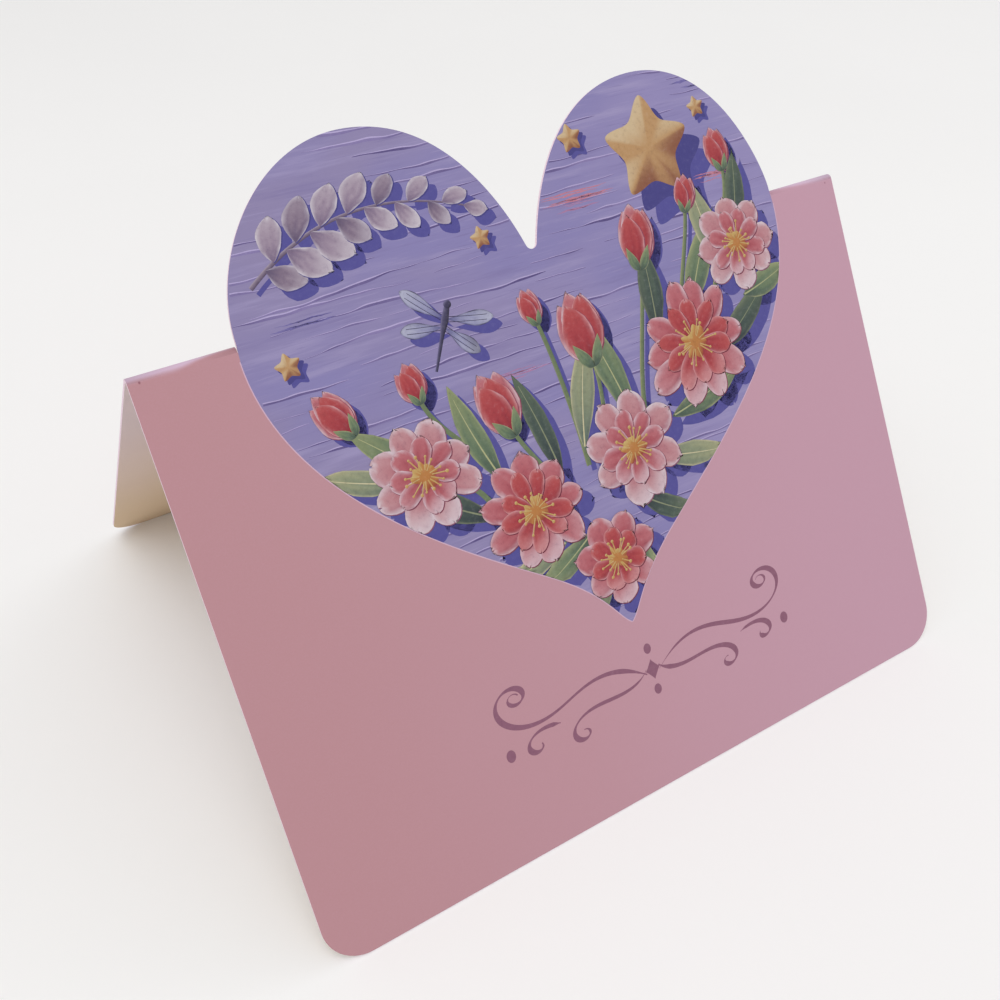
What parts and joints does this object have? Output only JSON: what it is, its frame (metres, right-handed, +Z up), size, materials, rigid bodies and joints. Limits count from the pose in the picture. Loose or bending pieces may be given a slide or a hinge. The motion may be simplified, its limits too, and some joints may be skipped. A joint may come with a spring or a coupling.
{
  "type": "greeting card",
  "caption": "Folded greeting card that stands as a tent, with a die-cut heart that stands up over the fold.",
  "frame": {"origin": "on the table, below the middle of the fold", "axes": "+X along the fold, to the right seen from the front; the front panel faces -Y; +Z up"},
  "size_m": [0.1, 0.0828, 0.0728],
  "materials": {
    "card_stock": "smooth uncoated card, pink print outside and cream inside",
    "heart_print": "matte printed picture on the heart",
    "mauve_print": "matte mauve print on the front panel"
  },
  "bodies": {
    "root": {"folded_card": "card_stock"}
  },
  "joints": []
}
